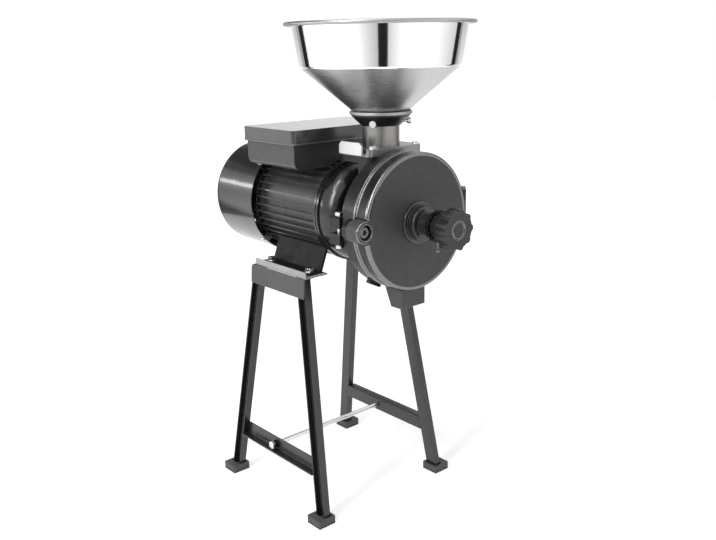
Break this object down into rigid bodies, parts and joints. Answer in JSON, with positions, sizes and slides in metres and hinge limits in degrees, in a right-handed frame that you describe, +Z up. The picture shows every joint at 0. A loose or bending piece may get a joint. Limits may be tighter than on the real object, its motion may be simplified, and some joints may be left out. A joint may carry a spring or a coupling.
{
  "type": "electric grain mill",
  "caption": "Motor-driven grain mill on an open angle-steel stand, with a flared steel hopper, hinged grinding drum cover, adjusting knob and bottom meal chute.",
  "frame": {"origin": "centre of the bounding box's footprint, on the floor plane", "axes": "+Z up, -Y towards the adjusting knob, +X to the right seen from the knob"},
  "size_m": [0.304, 0.514, 0.794],
  "materials": {
    "stand_paint": "satin",
    "bracket_paint": "satin",
    "foot_rubber": "matte",
    "zinc": "satin",
    "black_steel": "satin",
    "motor_paint": "gloss",
    "box_paint": "satin",
    "lid_paint": "satin",
    "switch_plastic": "matte",
    "rocker_plastic": "gloss",
    "bare_steel": "satin",
    "winding": "satin",
    "capacitor_case": "satin",
    "fan_plastic": "matte",
    "burr_iron": "matte",
    "cast_paint": "satin",
    "cover_paint": "satin",
    "knob_plastic": "matte",
    "neck_metal": "satin",
    "gate_metal": "satin",
    "hopper_steel": "polished",
    "collar_paint": "satin"
  },
  "bodies": {
    "mill_body": {"foot_rear_left": "foot_rubber", "foot_front_left": "foot_rubber", "foot_rear_right": "foot_rubber", "foot_front_right": "foot_rubber", "leg_rear_left": "stand_paint", "leg_front_left": "stand_paint", "leg_rear_right": "stand_paint", "leg_front_right": "stand_paint", "header_left": "stand_paint", "header_right": "stand_paint", "brace_left": "stand_paint", "brace_right": "stand_paint", "tie_rod": "zinc", "tie_nuts": "black_steel", "base_angle_left": "bracket_paint", "base_angle_right": "bracket_paint", "motor_foot_left": "bracket_paint", "motor_foot_right": "bracket_paint", "foot_bolts": "zinc", "motor_frame": "motor_paint", "front_bell": "motor_paint", "rear_bell": "motor_paint", "front_bearing": "bare_steel", "rear_bearing": "bare_steel", "stator": "winding", "fan_cover": "motor_paint", "fan_cover_screws": "zinc", "capacitor_box": "box_paint", "capacitor_box_lid": "lid_paint", "capacitors": "capacitor_case", "power_switch": "switch_plastic", "cable_gland": "switch_plastic", "housing_bolts": "zinc", "housing": "cast_paint", "fixed_burr": "burr_iron", "outlet_chute": "cast_paint", "clamp_bolt": "zinc", "inlet_flange": "neck_metal", "flange_bolts": "zinc", "hinge_pin": "zinc"},
    "rotor": {"motor_shaft": "bare_steel", "rotor_core": "bare_steel", "cooling_fan": "fan_plastic", "feed_auger": "bare_steel"},
    "turning_burr": {"rotating_burr": "burr_iron"},
    "cover": {"front_cover": "cover_paint"},
    "pressure_screw": {"adjusting_screw": "bare_steel"},
    "knob": {"adjusting_knob": "knob_plastic"},
    "lock": {"lock_ring": "black_steel", "lock_lever": "zinc"},
    "closing_shank": {"closing_bolt": "zinc"},
    "closing_head": {"closing_bolt_head": "zinc"},
    "gate": {"feed_gate": "gate_metal"},
    "hopper_body": {"hopper": "hopper_steel", "hopper_collar": "collar_paint"},
    "thumb_1": {"thumb_screw_1": "zinc"},
    "thumb_2": {"thumb_screw_2": "zinc"},
    "thumb_3": {"thumb_screw_3": "zinc"},
    "rocker": {"switch_rocker": "rocker_plastic"}
  },
  "joints": [
    {"name": "rotor_spin", "type": "hinge", "parent": "mill_body", "child": "rotor", "pos_m": [0, 0, 0.4985], "axis": [0, 1, 0], "continuous": true},
    {"name": "burr_slide", "type": "slide", "parent": "rotor", "child": "turning_burr", "axis": [0, 1, 0], "range_m": [-0.0024, 0.0006]},
    {"name": "cover_hinge", "type": "hinge", "parent": "mill_body", "child": "cover", "pos_m": [0.113, -0.158, 0.4985], "axis": [0, 0, 1], "range_deg": [0, 110]},
    {"name": "screw_slide", "type": "slide", "parent": "cover", "child": "pressure_screw", "axis": [0, 1, 0], "range_m": [-0.0024, 0.0006]},
    {"name": "knob_turn", "type": "hinge", "parent": "pressure_screw", "child": "knob", "pos_m": [0, -0.235, 0.4985], "axis": [0, 1, 0], "range_deg": [-576.5, 144.5]},
    {"name": "lock_turn", "type": "hinge", "parent": "pressure_screw", "child": "lock", "pos_m": [0, -0.2139, 0.4985], "axis": [0, 1, 0], "range_deg": [-90, 90]},
    {"name": "closing_bolt_slide", "type": "slide", "parent": "cover", "child": "closing_shank", "axis": [0, -1, 0], "range_m": [0, 0.01]},
    {"name": "closing_bolt_turn", "type": "hinge", "parent": "closing_shank", "child": "closing_head", "pos_m": [-0.106, -0.167, 0.4985], "axis": [0, -1, 0], "range_deg": [0, 2880.5]},
    {"name": "gate_slide", "type": "slide", "parent": "mill_body", "child": "gate", "axis": [-1, 0, 0], "range_m": [0, 0.058]},
    {"name": "hopper_lift", "type": "slide", "parent": "mill_body", "child": "hopper_body", "axis": [0, 0, 1], "range_m": [0, 0.06]},
    {"name": "thumb_1_turn", "type": "hinge", "parent": "hopper_body", "child": "thumb_1", "pos_m": [-0.03392, -0.1137, 0.645], "axis": [-0.848, -0.5299, 0], "range_deg": [-720, 0]},
    {"name": "thumb_2_turn", "type": "hinge", "parent": "hopper_body", "child": "thumb_2", "pos_m": [0.03532, -0.11128, 0.645], "axis": [0.8829, -0.4695, 0], "range_deg": [-720, 0]},
    {"name": "thumb_3_turn", "type": "hinge", "parent": "hopper_body", "child": "thumb_3", "pos_m": [-0.0014, -0.05252, 0.645], "axis": [-0.0349, 0.9994, 0], "range_deg": [-720, 0]},
    {"name": "switch_press", "type": "hinge", "parent": "mill_body", "child": "rocker", "pos_m": [0.107, 0.02285, 0.598], "axis": [0, -1, 0], "range_deg": [0, 12]}
  ],
  "couplings": [
    {"joint": "knob_turn", "follows": "screw_slide", "rad_per_m": 4188.8},
    {"joint": "burr_slide", "follows": "screw_slide", "ratio": 1},
    {"joint": "closing_bolt_turn", "follows": "closing_bolt_slide", "rad_per_m": 5026.5}
  ]
}
